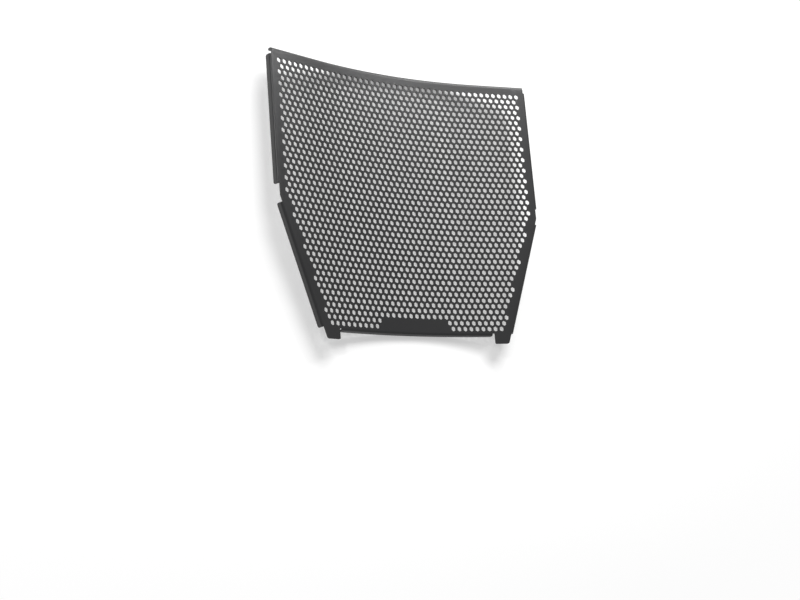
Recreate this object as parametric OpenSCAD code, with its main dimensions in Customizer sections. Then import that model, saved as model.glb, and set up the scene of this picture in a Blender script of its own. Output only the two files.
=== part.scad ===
// Motorcycle radiator guard: one perforated sheet with a rolled middle, two flat wings,
// flanges folded back along its edges and two tabs at its lower edge.
// It lies on its back: the front face looks up, and the top of the guard is towards +Y.

/* [Sheet] */
// Width along the sheet, over the outer faces of the side flanges
panel_w = 316; // [290:2:330]
// Height, over the outer faces of the top and bottom flanges
panel_h = 280; // [260:2:300]
// Width over the outer faces where the tapered sides meet the lower edge
bottom_w = 228; // [220:2:236]
// Height of the knee, where the sides start to taper
knee_h = 128; // [110:2:140]
// Thickness of the sheet
sheet_t = 1.5; // [1:0.25:2]

/* [Rolling] */
// Radius of the rolled middle, at the front face
roll_r = 490; // [400:10:700]
// Width of the rolled middle, along the sheet
roll_w = 182; // [150:2:184]
// Flats that the press leaves across the rolled middle
roll_flats = 13; // [9:2:17]

/* [Flanges] */
// Depth of the flanges behind the front face
flange_d = 7; // [6:0.5:12]
// Inside radius of every fold
fold_r = 1; // [1:0.25:2]
// Radius of the corners of a flange
flange_corner_r = 2; // [0.5:0.25:3]
// Room between the knee and the upper flange of a side
knee_above = 12; // [8:1:16]
// Room between the knee and the lower flange of a side
knee_below = 6; // [4:1:12]
// Room between a side flange and the top of the guard
top_relief = 7; // [5:0.5:10]
// Room between a side flange and the bottom of the guard
bottom_relief = 3; // [2:0.5:5]

/* [Tabs] */
// Distance from the middle to the inner side of each tab
tab_in = 93; // [88:1:98]
// Length of the tabs below the lower edge
tab_len = 8.5; // [6:0.5:14]
// Radius of the outer corner of a tab
tab_outer_r = 2.5; // [1:0.5:5]
// Radius of the inner corner of a tab
tab_inner_r = 1.5; // [0.5:0.5:4]
// Slit between the bottom flange and a tab
tab_slit = 2.5; // [1:0.5:4]

/* [Perforation] */
// Distance between the openings of a row
pitch = 25.5; // [24:0.5:30]
// Width of an opening over its flats
hole_w = 18.5; // [12:0.5:20]
// Least distance from an opening's centre to the side of the guard
side_margin = 17.5; // [17:0.5:24]
// Distance from the top of the guard to the first row
top_margin = 20; // [19:0.5:26]
// Least distance from the last row to the bottom of the guard
bottom_margin = 16; // [16:0.5:24]
// Width of the blank field at the lower edge
field_w = 80; // [40:2:120]
// Height of the blank field
field_h = 16; // [10:1:30]

/* [Hidden] */
$fn = 32;
cut = 1;
deep = 40;
lap = 0.02;
tongue = 1.5;
bend_lap = 0.15;
fold_step = 22.5;
fold_out = fold_r + sheet_t;
half_w = panel_w / 2;
taper = (panel_w - bottom_w) / 2 / knee_h;
taper_angle = atan(taper);
row_step = pitch * sqrt(3) / 2;
flat_w = roll_w / roll_flats;
flat_angle = flat_w / roll_r * 180 / PI;
axis_h = flat_w / 2 / tan(flat_angle / 2);
wing = (roll_flats + 1) / 2;
centre_y = (panel_h - tab_len) / 2;

// Distance from the middle to the outer face of a tapered side, at a height
function side_at(y) = half_w - taper * (knee_h - y);

// The same for the line where the panel runs into the fold
function fold_at(y) = side_at(y) - fold_out / cos(taper_angle);

// Height at which the straight and the tapered fold lines cross
fold_knee = knee_h + fold_out * tan(taper_angle / 2);

// Room between a point of the panel and the nearest side
function side_room(x, y) = min(half_w - abs(x), (side_at(y) - abs(x)) * cos(taper_angle));

// The flat that a place across the sheet belongs to; half a number is a bend between two
function flat_of(x) =
    let (k = x / flat_w)
    abs(x) > roll_w / 2 + flat_w / 100 ? sign(x) * wing
    : abs(abs(k - floor(k)) - 0.5) < 0.01 ? k
    : round(k);

// Places across the sheet of the bends and of both ends
function roll_stations(end) = [
    -end, for (i = [0:roll_flats]) (i - roll_flats / 2) * flat_w, end
];

// Where a place across the sheet and a depth behind the front face lie in the section
function rolled(x, depth) =
    let (
        k = flat_of(x),
        reach = (axis_h + depth) / (k == floor(k) ? 1 : cos(flat_angle / 2)),
        along = x - k * flat_w
    )
    [
        reach * sin(k * flat_angle) + along * cos(k * flat_angle),
        axis_h - reach * cos(k * flat_angle) + along * sin(k * flat_angle)
    ];

// Turns a piece of the flat sheet to its place in the roll
module on_flat(k) {
    translate([0, 0, axis_h]) rotate([0, -k * flat_angle, 0]) translate([-k * flat_w, 0, -axis_h])
        children();
}

// Does the same on both wings
module on_wings() {
    for (side = [0, 1]) mirror([side, 0, 0]) on_flat(wing) children();
}

// What the blank loses outside one side, below the knee, and round its tab's outer corner
module blank_waste() {
    low = -tab_len - cut;
    polygon([
        [fold_at(low), low], [half_w + cut, low],
        [half_w + cut, fold_knee], [fold_at(fold_knee), fold_knee]
    ]);
    tab_corner([fold_at(-tab_len), -tab_len], 90 - taper_angle, 90 + taper_angle, tab_outer_r);
}

// What the blank loses between the tabs, with their inner corners
module notch() {
    inner = rolled(tab_in, 0)[0];
    translate([-inner, -2 * tab_len]) square([2 * inner, 2 * tab_len + fold_out]);
    for (side = [0, 1]) mirror([side, 0, 0])
        tab_corner([inner, -tab_len], 0, 90, tab_inner_r);
}

// What rounding takes off a corner that opens from the first angle by the second
module tab_corner(corner, from, open, r) {
    reach = r / tan(open / 2);
    step = (180 - open) / 4;
    translate(corner) rotate([0, 0, from])
        polygon([
            [reach, -cut],
            for (a = [270:-step:90 + open + step / 2]) [reach + r * cos(a), r + r * sin(a)],
            reach * [cos(open), sin(open)],
            reach * [cos(open), sin(open)] + cut * [-sin(open), cos(open)],
            -cut / sin(open / 2) * [cos(open / 2), sin(open / 2)]
        ]);
}

// The panel with its tabs, still without its holes
module panel() {
    places = roll_stations(half_w - fold_out);
    difference() {
        difference() {
            translate([0, panel_h - fold_out, 0]) rotate([90, 0, 0])
                linear_extrude(panel_h - fold_out + tab_len)
                    polygon([
                        for (x = places) rolled(x, 0),
                        for (i = [len(places) - 1:-1:0]) rolled(places[i], sheet_t)
                    ]);
            on_wings() translate([0, 0, -deep]) linear_extrude(2 * deep) blank_waste();
        }
        translate([0, 0, -deep]) linear_extrude(2 * deep) notch();
    }
}

// Section of a flange and its fold: distance out from the fold line, and height.
// The facets of the fold touch its arcs, so that no edge lies on the fold line itself
function flange_section(depth) = concat(
    [[-tongue, -lap]],
    fold_points(fold_out - lap, [fold_step / 2:fold_step:90]),
    [[fold_out - lap, -depth], [fold_r + lap, -depth]],
    fold_points(fold_r + lap, [90 - fold_step / 2:-fold_step:0]),
    [[-tongue, lap - sheet_t]]
);

// Corners of the facets round one arc of a fold
function fold_points(r, angles) = [
    for (a = angles) r / cos(fold_step / 2) * [sin(a), cos(a)] - [0, fold_out]
];

// A flange along the roll, flat by flat, folded at a height towards +Y or -Y
module rolled_flange(end, y, way) {
    for (k = [-wing:wing]) {
        low = max(-end, k == -wing ? -end : (k - 0.5) * flat_w - bend_lap);
        high = min(end, k == wing ? end : (k + 0.5) * flat_w + bend_lap);
        if (high - low > 1) on_flat(k) translate([0, y, 0]) scale([1, way, 1]) difference() {
            translate([low, 0, 0]) rotate([90, 0, 90]) linear_extrude(high - low)
                polygon(flange_section(flange_d));
            if (low == -end) flange_corner(low, 0);
            if (high == end) flange_corner(high, 1);
        }
    }
}

// What rounding takes off the corner of a flange
module flange_corner(x, side) {
    translate([x, 2 * fold_out, -flange_d]) mirror([side, 0, 0]) rotate([90, 0, 0])
        linear_extrude(2 * fold_out) tab_corner([0, 0], 0, 90, flange_corner_r);
}

// A straight flange with its fold, along X on a wing, with the panel at -Y
module straight_flange(length) {
    r = flange_corner_r;
    mid = sheet_t - 2 * lap;
    translate([0, fold_out - lap, 0]) rotate([90, 0, 0]) linear_extrude(mid) {
        translate([-length / 2, r - flange_d]) square([length, flange_d - fold_out - r]);
        translate([r - length / 2, -flange_d]) square([length - 2 * r, r]);
        for (side = [-1, 1]) translate([side * (length / 2 - r), r - flange_d]) circle(r);
    }
    rotate([90, 0, 90]) linear_extrude(length, center = true) {
        intersection() {
            translate([0, -fold_out]) difference() {
                circle(fold_out - lap);
                circle(fold_r + lap);
            }
            translate([0, -fold_out]) square(fold_out);
        }
        translate([-tongue, lap - sheet_t]) square([tongue, mid]);
    }
}

// The two flanges of one side
module side_flanges() {
    upper_low = knee_h + knee_above;
    upper_high = panel_h - top_relief;
    lower_high = knee_h - knee_below;
    lower_mid = (bottom_relief + lower_high) / 2;
    translate([half_w - fold_out, (upper_low + upper_high) / 2, 0])
        rotate([0, 0, -90]) straight_flange(upper_high - upper_low);
    translate([fold_at(lower_mid), lower_mid, 0])
        rotate([0, 0, -90 - taper_angle])
            straight_flange((lower_high - bottom_relief) / cos(taper_angle));
}

// The openings of one flat, or of one bend, row by row
module flat_holes(k) {
    rows = floor((panel_h - top_margin - bottom_margin) / row_step);
    most = ceil(half_w / pitch);
    for (row = [0:rows]) {
        y = panel_h - top_margin - row * row_step;
        for (i = [-most:most]) {
            x = (i + (row % 2) / 2) * pitch;
            if (flat_of(x) == k && side_room(x, y) >= side_margin
                    && (y - hole_w / 2 > field_h || abs(x) - hole_w / 2 > field_w / 2))
                translate([x, y]) circle(d = hole_w);
        }
    }
}

// All the openings, square to the sheet where each one stands
module perforation() {
    for (k = [-wing:0.5:wing]) on_flat(k) translate([0, 0, -sheet_t - cut])
        linear_extrude(sheet_t + 2 * cut) flat_holes(k);
}

module radiator_guard() {
    color("#3b3b3d") translate([0, -centre_y, flange_d]) {
        difference() {
            panel();
            perforation();
        }
        rolled_flange(half_w - fold_out, panel_h - fold_out, 1);
        rolled_flange(tab_in - tab_slit, fold_out, -1);
        on_wings() side_flanges();
    }
}

radiator_guard();
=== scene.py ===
"""Looks of a motorcycle radiator guard: a perforated, rolled and folded sheet that lies on its back."""

import math

import bpy
from mathutils import Matrix, Vector


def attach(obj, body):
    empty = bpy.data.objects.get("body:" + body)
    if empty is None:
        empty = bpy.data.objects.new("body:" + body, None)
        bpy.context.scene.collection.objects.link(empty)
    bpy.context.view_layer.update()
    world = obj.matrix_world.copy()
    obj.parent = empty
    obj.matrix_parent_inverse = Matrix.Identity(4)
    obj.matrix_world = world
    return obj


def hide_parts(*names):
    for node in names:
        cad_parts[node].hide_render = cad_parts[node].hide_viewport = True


MM = 0.001

# Sizes of the sheet, as the part's source gives them
PANEL_W = 316 * MM
PANEL_H = 280 * MM
BOTTOM_W = 228 * MM
KNEE_H = 128 * MM
SHEET_T = 1.5 * MM
ROLL_R = 490 * MM
ROLL_W = 182 * MM
ROLL_FLATS = 13
FLANGE_D = 7 * MM
FOLD_R = 1 * MM
FLANGE_CORNER_R = 2 * MM
KNEE_ABOVE = 12 * MM
KNEE_BELOW = 6 * MM
TOP_RELIEF = 7 * MM
BOTTOM_RELIEF = 3 * MM
TAB_IN = 93 * MM
TAB_LEN = 8.5 * MM
TAB_OUTER_R = 2.5 * MM
TAB_INNER_R = 1.5 * MM
TAB_SLIT = 2.5 * MM

# The fine mesh of hexagonal holes, for which the source has a coarser grid
PITCH = 7 * MM
HOLE_W = 4.75 * MM
SIDE_MARGIN = 10.5 * MM
TOP_MARGIN = 12 * MM
BOTTOM_MARGIN = 7 * MM
FIELD_W = 80 * MM
FIELD_H = 16 * MM
SPARE_ROWS = 2

# Facets of the folds and of the rounded corners
FOLD_STEPS = 6
TAB_CORNER_STEPS = 6
FLANGE_CORNER_STEPS = 5
SMOOTH_BELOW = math.radians(40)
FLAT_BELOW = math.radians(1)

# How near a point has to be: on the flat blank, after a slanted cut, and to be merged
TINY = 0.01 * MM
CLOSE = 0.02 * MM
WELD = 0.05 * MM

# What follows from the sizes
FOLD_OUT = FOLD_R + SHEET_T
HALF_W = PANEL_W / 2
TAPER = (PANEL_W - BOTTOM_W) / 2 / KNEE_H
TAPER_ANGLE = math.atan(TAPER)
ROW_STEP = PITCH * math.sqrt(3) / 2
CENTRE_Y = (PANEL_H - TAB_LEN) / 2
UPPER_LOW = KNEE_H + KNEE_ABOVE
UPPER_HIGH = PANEL_H - TOP_RELIEF
LOWER_LOW = BOTTOM_RELIEF
LOWER_HIGH = KNEE_H - KNEE_BELOW
BOTTOM_FLANGE_END = TAB_IN - TAB_SLIT

# Width of a smooth roll that turns the wings as far as the source's flats and bends do
ARC_W = ROLL_W * (1 + 1 / ROLL_FLATS)

# Lines where the panel runs into its folds
FOLD_X = HALF_W - FOLD_OUT
FOLD_KNEE = KNEE_H + FOLD_OUT * math.tan(TAPER_ANGLE / 2)
TOP_FOLD_Y = PANEL_H - FOLD_OUT
BOTTOM_FOLD_Y = FOLD_OUT

# The powder coat: its darkest and lightest grey, and the scales of its unevenness
COAT_DARK = (0.0095, 0.0095, 0.0102, 1)
COAT_LIGHT = (0.015, 0.015, 0.016, 1)
CLOUD_SCALE = 22
GRAIN_SCALE = 1400
PEEL_SCALE = 420

# What each kind of unevenness adds to the coat's grey, its roughness and its relief
CLOUD_GREY = 0.7
GRAIN_GREY = 0.3
LEAST_ROUGHNESS = 0.31
CLOUD_ROUGHNESS = 0.07
GRAIN_ROUGHNESS = 0.04
PEEL_RELIEF = 0.6
GRAIN_RELIEF = 0.4
RELIEF_DEPTH = 0.2 * MM
RELIEF_STRENGTH = 0.12

# The floor: its paint, and how much plain white the camera sees in it near the guard and far away
FLOOR_SIZE = 12
FLOOR_COLOUR = (0.97, 0.97, 0.97, 1)
WHITE = (1, 1, 1, 1)
NEAR_EDGE = 0.3
FAR_EDGE = 0.9
NEAR_WHITE = 0.34
FAR_WHITE = 1

# The light all round, as a share of the white that the camera sees, and the lamps, in metres and watts
SKY_LIGHT = 0.45
LAMPS = {
    "key": {"place": (0.15, 1.6, 1.3), "aim": (0, 0, 0), "size": 1.1, "power": 44},
    "edge": {"place": (-0.85, 0.45, 0.85), "aim": (-0.15, 0.05, 0), "size": 0.15, "power": 3.2},
    "mirror": {"place": (0.42, 0.62, 0.62), "aim": (0.02, 0.15, 0), "size": 0.16, "power": 2.4},
}

# The camera of the photograph: place in metres, turn in degrees, lens and film in millimetres
CAMERA_PLACE = (-0.68193, -0.36643, 1.05559)
CAMERA_TURN = (14.9643, -31.3188, -5.4232)
CAMERA_LENS = 56.542
CAMERA_FILM = 36


def side_at(y):
    """Distance from the middle to the outer face of a tapered side, at a height."""
    return HALF_W - TAPER * (KNEE_H - y)


def fold_at(y):
    """The same for the line where the panel runs into the fold."""
    return side_at(y) - FOLD_OUT / math.cos(TAPER_ANGLE)


def select_none():
    """Deselects every object."""
    for thing in bpy.context.selected_objects:
        thing.select_set(False)


def make_active(piece):
    """Selects one piece alone."""
    select_none()
    piece.select_set(True)
    bpy.context.view_layer.objects.active = piece


def select_elements(piece, mode, wanted):
    """In edit mode, selects the vertices, edges or faces whose test is true."""
    bpy.ops.mesh.select_mode(type=mode)
    bpy.ops.mesh.select_all(action="DESELECT")
    bpy.ops.object.mode_set(mode="OBJECT")
    mesh = piece.data
    if mode == "VERT":
        mesh.vertices.foreach_set("select", [wanted(v.co) for v in mesh.vertices])
    elif mode == "FACE":
        mesh.polygons.foreach_set("select", [wanted(f.center) for f in mesh.polygons])
    else:
        points = [v.co for v in mesh.vertices]
        chosen = [wanted(points[e.vertices[0]], points[e.vertices[1]]) for e in mesh.edges]
        mesh.edges.foreach_set("select", chosen)
    bpy.ops.object.mode_set(mode="EDIT")


def cut_along(point, normal, clear=False):
    """Cuts what is selected along a plane, and drops what lies beyond it if asked."""
    bpy.ops.mesh.bisect(plane_co=point, plane_no=normal, clear_outer=clear, threshold=TINY)


def honeycomb_cell(with_hole):
    """One hexagonal cell of the sheet, with its hexagonal hole or without."""
    bpy.ops.mesh.primitive_circle_add(vertices=6, radius=PITCH / math.sqrt(3), fill_type="NGON")
    cell = bpy.context.object
    if with_hole:
        bpy.ops.object.mode_set(mode="EDIT")
        bpy.ops.mesh.select_all(action="SELECT")
        bpy.ops.mesh.inset(thickness=(PITCH - HOLE_W) / 2)
        bpy.ops.mesh.delete(type="FACE")
        bpy.ops.object.mode_set(mode="OBJECT")
    return cell


def has_hole(x, y):
    """Whether the cell at a place is one of the perforated ones."""
    room = min(HALF_W - abs(x), (side_at(y) - abs(x)) * math.cos(TAPER_ANGLE))
    inside = BOTTOM_MARGIN - TINY <= y <= PANEL_H - TOP_MARGIN + TINY
    off_field = y > FIELD_H or abs(x) > FIELD_W / 2
    return inside and room >= SIDE_MARGIN - TINY / 10 and off_field


def lay_cells():
    """Copies of both cells, in staggered rows, over more than the blank."""
    pattern = {True: honeycomb_cell(True), False: honeycomb_cell(False)}
    rows = round((PANEL_H + TAB_LEN - TOP_MARGIN) / ROW_STEP)
    most = math.ceil(HALF_W / PITCH)
    cells = []
    for row in range(-SPARE_ROWS, rows + SPARE_ROWS):
        y = PANEL_H - TOP_MARGIN - row * ROW_STEP
        for i in range(-most, most + 1):
            x = (i + (row % 2) / 2) * PITCH
            first = pattern[has_hole(x, y)]
            cell = first.copy()
            cell.data = first.data.copy()
            cell.data.transform(Matrix.Translation((x, y, 0)))
            bpy.context.collection.objects.link(cell)
            cells.append(cell)
    for first in pattern.values():
        bpy.data.objects.remove(first)
    return cells


def honeycomb():
    """The flat sheet as one field of cells, larger than the blank on every side."""
    cells = lay_cells()
    select_none()
    for cell in cells:
        cell.select_set(True)
    bpy.context.view_layer.objects.active = cells[0]
    bpy.ops.object.join()
    sheet = bpy.context.object
    sheet.name = "guard_sheet"
    sheet.data.name = "guard_sheet"
    bpy.ops.object.mode_set(mode="EDIT")
    bpy.ops.mesh.select_all(action="SELECT")
    bpy.ops.mesh.remove_doubles(threshold=WELD)
    bpy.ops.object.mode_set(mode="OBJECT")
    return sheet


def trim_blank(sheet):
    """Cuts the field of cells to the outline of the blank, up to its fold lines."""
    make_active(sheet)
    bpy.ops.object.mode_set(mode="EDIT")
    trims = [((0, TOP_FOLD_Y, 0), (0, 1, 0)), ((0, -TAB_LEN, 0), (0, -1, 0))]
    for side in (-1, 1):
        trims.append(((side * FOLD_X, 0, 0), (side, 0, 0)))
        slope = (side * math.cos(TAPER_ANGLE), -math.sin(TAPER_ANGLE), 0)
        trims.append(((side * FOLD_X, FOLD_KNEE, 0), slope))
    for point, normal in trims:
        bpy.ops.mesh.select_all(action="SELECT")
        cut_along(point, normal, clear=True)
    clear_between_tabs(sheet)
    round_tabs(sheet)
    bpy.ops.object.mode_set(mode="OBJECT")


def clear_between_tabs(sheet):
    """Takes away the blank between the tabs, below the fold line of the bottom flange."""
    select_elements(sheet, "FACE", lambda c: c.y < BOTTOM_FOLD_Y + PITCH)
    cut_along((0, BOTTOM_FOLD_Y, 0), (0, 1, 0))
    for x in (-TAB_IN, TAB_IN):
        select_elements(sheet, "FACE", lambda c: c.y < BOTTOM_FOLD_Y)
        cut_along((x, 0, 0), (1, 0, 0))
    select_elements(sheet, "FACE", lambda c: c.y < BOTTOM_FOLD_Y and abs(c.x) < TAB_IN)
    bpy.ops.mesh.delete(type="FACE")


def round_tabs(sheet):
    """Rounds the corners of both tabs."""
    outer = (fold_at(-TAB_LEN), TAB_OUTER_R, math.pi / 2 + TAPER_ANGLE)
    inner = (TAB_IN, TAB_INNER_R, math.pi / 2)
    for x, radius, opening in (inner, outer):
        select_elements(sheet, "FACE", lambda c: c.y < BOTTOM_FOLD_Y)
        bpy.ops.mesh.dissolve_limited(angle_limit=FLAT_BELOW)

        def at_corner(co):
            return abs(abs(co.x) - x) < CLOSE and abs(co.y + TAB_LEN) < CLOSE

        select_elements(sheet, "VERT", at_corner)
        reach = radius / math.tan(opening / 2)
        bpy.ops.mesh.bevel(
            offset=reach, offset_type="OFFSET", segments=TAB_CORNER_STEPS, affect="VERTICES"
        )


def fold_edge(sheet, on_fold_line, x, y, outward):
    """Folds a flange back along some edges of the blank: an arc, then a straight run."""
    centre = Vector((x, y, -FOLD_OUT))
    axis = (outward.y, -outward.x, 0)
    select_elements(sheet, "EDGE", on_fold_line)
    bpy.ops.mesh.spin(steps=FOLD_STEPS, angle=math.pi / 2, center=centre, axis=axis)

    def at_arc_end(a, b):
        from_centre = [p - centre for p in (a, b)]
        return all(abs(v.dot(outward) - FOLD_OUT) < CLOSE and abs(v.z) < CLOSE for v in from_centre)

    select_elements(sheet, "EDGE", at_arc_end)
    bpy.ops.mesh.extrude_region_move(TRANSFORM_OT_translate={"value": (0, 0, FOLD_OUT - FLANGE_D)})


def cut_margins(sheet, heights, lowest_x):
    """Cuts the margins of both sides at some heights, where the side flanges end."""
    for y in heights:

        def in_margin(centre):
            return abs(centre.y - y) < PITCH * 1.5 and abs(centre.x) > lowest_x(y)

        select_elements(sheet, "FACE", in_margin)
        cut_along((0, y, 0), (0, 1, 0))


def cut_flange_ends(sheet):
    """Gives the fold lines corners where the flanges end."""
    cut_margins(sheet, (UPPER_LOW, UPPER_HIGH), lambda y: FOLD_X - PITCH)
    cut_margins(sheet, (LOWER_LOW, LOWER_HIGH), lambda y: fold_at(y) - PITCH)
    for x in (-BOTTOM_FLANGE_END, BOTTOM_FLANGE_END):

        def at_slit(centre):
            return centre.y < BOTTOM_FOLD_Y + PITCH and abs(centre.x - x) < PITCH

        select_elements(sheet, "FACE", at_slit)
        cut_along((x, 0, 0), (1, 0, 0))


def fold_ends(sheet):
    """Folds back the top flange, and the bottom flange between the tabs."""
    for y, end, way in ((TOP_FOLD_Y, FOLD_X, 1), (BOTTOM_FOLD_Y, BOTTOM_FLANGE_END, -1)):

        def on_fold_line(a, b):
            return all(abs(p.y - y) < TINY and abs(p.x) < end + TINY for p in (a, b))

        fold_edge(sheet, on_fold_line, 0, y, Vector((0, way, 0)))


def fold_sides(sheet):
    """Folds back the straight flange and the tapered flange of each side."""
    for side in (-1, 1):

        def on_straight_line(a, b):
            return all(
                abs(p.x - side * FOLD_X) < TINY
                and UPPER_LOW - TINY < p.y < UPPER_HIGH + TINY
                and abs(p.z) < TINY
                for p in (a, b)
            )

        def on_tapered_line(a, b):
            return all(
                abs(p.x - side * fold_at(p.y)) < CLOSE
                and LOWER_LOW - TINY < p.y < LOWER_HIGH + TINY
                and abs(p.z) < TINY
                for p in (a, b)
            )

        fold_edge(sheet, on_straight_line, side * FOLD_X, 0, Vector((side, 0, 0)))
        outward = Vector((side * math.cos(TAPER_ANGLE), -math.sin(TAPER_ANGLE), 0))
        fold_edge(sheet, on_tapered_line, side * fold_at(0), 0, outward)


def fold_flanges(sheet):
    """Folds back the six flanges and rounds their corners."""
    make_active(sheet)
    bpy.ops.object.mode_set(mode="EDIT")
    cut_flange_ends(sheet)
    fold_ends(sheet)
    fold_sides(sheet)
    round_flanges(sheet)
    bpy.ops.object.mode_set(mode="OBJECT")


def round_flanges(sheet):
    """Rounds the free corners of every flange, which are the vertices with two edges."""
    bpy.ops.object.mode_set(mode="OBJECT")
    mesh = sheet.data
    edge_count = [0] * len(mesh.vertices)
    for edge in mesh.edges:
        for end in edge.vertices:
            edge_count[end] += 1
    for vertex in mesh.vertices:
        vertex.select = abs(vertex.co.z + FLANGE_D) < TINY and edge_count[vertex.index] == 2
    for group in (mesh.edges, mesh.polygons):
        group.foreach_set("select", [False] * len(group))
    bpy.ops.object.mode_set(mode="EDIT")
    bpy.ops.mesh.select_mode(type="VERT")
    bpy.ops.mesh.bevel(
        offset=FLANGE_CORNER_R, offset_type="OFFSET", segments=FLANGE_CORNER_STEPS, affect="VERTICES"
    )


def add_modifier(piece, kind, **settings):
    """Adds a modifier with its settings and applies it."""
    make_active(piece)
    modifier = piece.modifiers.new(kind.title(), kind)
    for name, value in settings.items():
        setattr(modifier, name, value)
    bpy.ops.object.modifier_apply(modifier=modifier.name)


def roll_sheet(sheet):
    """Rolls the middle of the sheet towards its front, and leaves the two wings flat."""
    bpy.ops.object.empty_add(location=(0, 0, 0), rotation=(math.pi / 2, 0, 0))
    roller = bpy.context.object
    bpy.context.view_layer.update()
    wing_share = (PANEL_W - ARC_W) / 2 / PANEL_W
    add_modifier(
        sheet,
        "SIMPLE_DEFORM",
        deform_method="BEND",
        deform_axis="Z",
        origin=roller,
        angle=ARC_W / ROLL_R,
        limits=(wing_share, 1 - wing_share),
    )
    bpy.data.objects.remove(roller)


def thicken(sheet):
    """Gives the sheet its thickness, behind the front face."""
    add_modifier(
        sheet,
        "SOLIDIFY",
        thickness=SHEET_T,
        offset=-1,
        use_even_offset=True,
        use_quality_normals=True,
    )


def place_sheet(sheet):
    """Moves the sheet to its place in the part's frame, in its mesh, and shades it smooth."""
    sheet.data.transform(Matrix.Translation((0, -CENTRE_Y, FLANGE_D)))
    make_active(sheet)
    bpy.ops.object.shade_smooth_by_angle(angle=SMOOTH_BELOW)


class Value:
    """A socket whose arithmetic adds Math nodes."""

    def __init__(self, nodes, socket):
        self.nodes = nodes
        self.socket = socket

    def math(self, operation, other):
        """A Math node on this value and another."""
        return self.nodes.add("ShaderNodeMath", {"operation": operation}, {0: self, 1: other})

    def __add__(self, other):
        return self.math("ADD", other)

    def __mul__(self, other):
        return self.math("MULTIPLY", other)

    __radd__ = __add__
    __rmul__ = __mul__


class Nodes:
    """The node tree of a material or of the world, empty at first."""

    def __init__(self, owner):
        owner.use_nodes = True
        self.owner = owner
        self.tree = owner.node_tree
        self.tree.nodes.clear()

    def add(self, kind, settings=None, inputs=None, output=0):
        """Adds a node: its settings first, then the values or links of its sockets."""
        node = self.tree.nodes.new(kind)
        for name, value in (settings or {}).items():
            setattr(node, name, value)
        for name, value in (inputs or {}).items():
            if isinstance(value, Value):
                self.tree.links.new(value.socket, node.inputs[name])
            else:
                node.inputs[name].default_value = value
        return Value(self, node.outputs[output]) if node.outputs else node

    def noise(self, place, scale, detail):
        """Noise of one scale over the object."""
        sockets = {"Vector": place, "Scale": scale, "Detail": detail}
        return self.add("ShaderNodeTexNoise", None, sockets)

    def mix_colours(self, share, first, second):
        """A colour between two, by sockets 6 and 7, the colour pair of a Mix node."""
        sockets = {"Factor": share, 6: first, 7: second}
        return self.add("ShaderNodeMix", {"data_type": "RGBA"}, sockets, output=2)


def satin_coating():
    """Satin dark grey powder coat: fine orange peel, and a little unevenness in colour and gloss."""
    nodes = Nodes(bpy.data.materials.new("coated_sheet"))
    place = nodes.add("ShaderNodeTexCoord", output="Object")
    cloud = nodes.noise(place, scale=CLOUD_SCALE, detail=3)
    grain = nodes.noise(place, scale=GRAIN_SCALE, detail=2)
    peel = nodes.noise(place, scale=PEEL_SCALE, detail=1)
    grey = cloud * CLOUD_GREY + grain * GRAIN_GREY
    relief = {
        "Strength": RELIEF_STRENGTH,
        "Distance": RELIEF_DEPTH,
        "Height": peel * PEEL_RELIEF + grain * GRAIN_RELIEF,
    }
    sockets = {
        "Base Color": nodes.mix_colours(grey, COAT_DARK, COAT_LIGHT),
        "Roughness": LEAST_ROUGHNESS + cloud * CLOUD_ROUGHNESS + grain * GRAIN_ROUGHNESS,
        "Normal": nodes.add("ShaderNodeBump", None, relief),
    }
    shader = nodes.add("ShaderNodeBsdfPrincipled", None, sockets)
    nodes.add("ShaderNodeOutputMaterial", None, {"Surface": shader})
    return nodes.owner


def floor_paint():
    """White paint that keeps a soft shadow near the guard and shows white to the camera far away."""
    nodes = Nodes(bpy.data.materials.new("floor"))
    paint = nodes.add("ShaderNodeBsdfDiffuse", None, {"Color": FLOOR_COLOUR})
    glow = nodes.add("ShaderNodeEmission", None, {"Color": WHITE, "Strength": 1})
    seen = nodes.add("ShaderNodeLightPath", output="Is Camera Ray")
    place = nodes.add("ShaderNodeTexCoord", output="Object")
    distance = nodes.add("ShaderNodeVectorMath", {"operation": "LENGTH"}, {0: place}, output="Value")
    fade = {
        "Value": distance,
        "From Min": NEAR_EDGE,
        "From Max": FAR_EDGE,
        "To Min": NEAR_WHITE,
        "To Max": FAR_WHITE,
    }
    share = nodes.add("ShaderNodeMapRange", {"interpolation_type": "SMOOTHSTEP"}, fade)
    shader = nodes.add("ShaderNodeMixShader", None, {"Fac": seen * share, 1: paint, 2: glow})
    nodes.add("ShaderNodeOutputMaterial", None, {"Surface": shader})
    return nodes.owner


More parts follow.
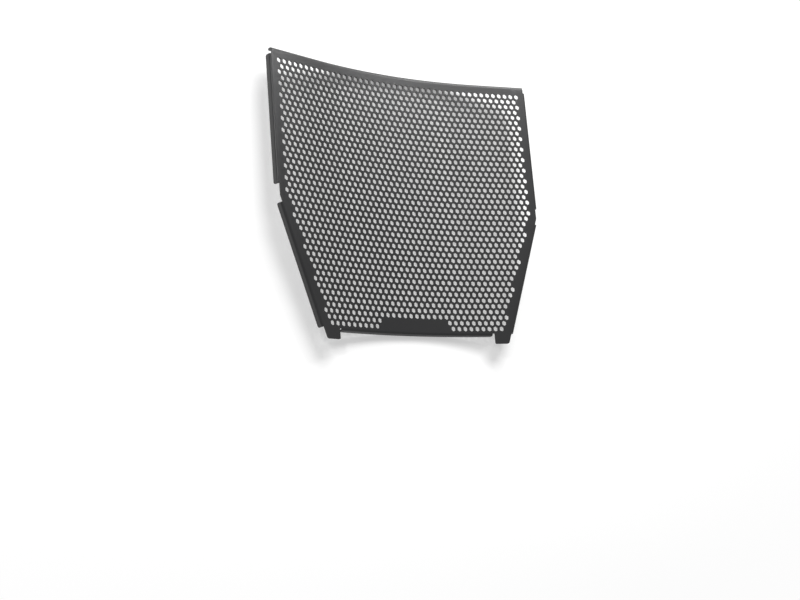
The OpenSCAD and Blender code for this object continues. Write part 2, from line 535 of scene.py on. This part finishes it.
def white_floor():
    """The floor that the guard lies on."""
    bpy.ops.mesh.primitive_plane_add(size=FLOOR_SIZE, location=(0, 0, 0))
    floor = bpy.context.object
    floor.name = "floor"
    floor.data.materials.append(floor_paint())


def add_lamp(name, place, aim, size, power):
    """A square lamp at a place, turned to a point."""
    lamp = bpy.data.lights.new(name, "AREA")
    lamp.size = size
    lamp.energy = power
    thing = bpy.data.objects.new(name, lamp)
    bpy.context.collection.objects.link(thing)
    thing.location = place
    thing.rotation_euler = (Vector(aim) - Vector(place)).to_track_quat("-Z", "Y").to_euler()


def studio():
    """Soft light all round, a broad lamp above the top, and two small ones for edges and margins."""
    nodes = Nodes(bpy.data.worlds.new("studio"))
    seen = nodes.add("ShaderNodeLightPath", output="Is Camera Ray")
    strength = seen * (1 - SKY_LIGHT) + SKY_LIGHT
    sky = nodes.add("ShaderNodeBackground", None, {"Color": WHITE, "Strength": strength})
    nodes.add("ShaderNodeOutputWorld", None, {"Surface": sky})
    bpy.context.scene.world = nodes.owner
    for name, settings in LAMPS.items():
        add_lamp(name, **settings)


def camera():
    """The camera of the photograph."""
    data = bpy.data.cameras.new("camera")
    data.sensor_width = CAMERA_FILM
    data.lens = CAMERA_LENS
    thing = bpy.data.objects.new("camera", data)
    bpy.context.collection.objects.link(thing)
    thing.location = CAMERA_PLACE
    thing.rotation_euler = [math.radians(angle) for angle in CAMERA_TURN]
    bpy.context.scene.camera = thing


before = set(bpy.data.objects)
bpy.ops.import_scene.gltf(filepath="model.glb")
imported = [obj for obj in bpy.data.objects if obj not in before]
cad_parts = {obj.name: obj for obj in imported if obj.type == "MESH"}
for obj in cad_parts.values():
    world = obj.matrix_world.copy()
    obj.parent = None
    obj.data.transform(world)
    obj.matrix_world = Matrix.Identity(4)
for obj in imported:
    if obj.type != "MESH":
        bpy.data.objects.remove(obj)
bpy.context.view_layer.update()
bpy.context.scene.view_settings.view_transform = "Standard"
camera()
select_none()
guard = honeycomb()
trim_blank(guard)
fold_flanges(guard)
roll_sheet(guard)
thicken(guard)
place_sheet(guard)
guard.data.materials.clear()
guard.data.materials.append(satin_coating())
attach(guard, "root")
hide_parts("radiator_guard")
white_floor()
studio()
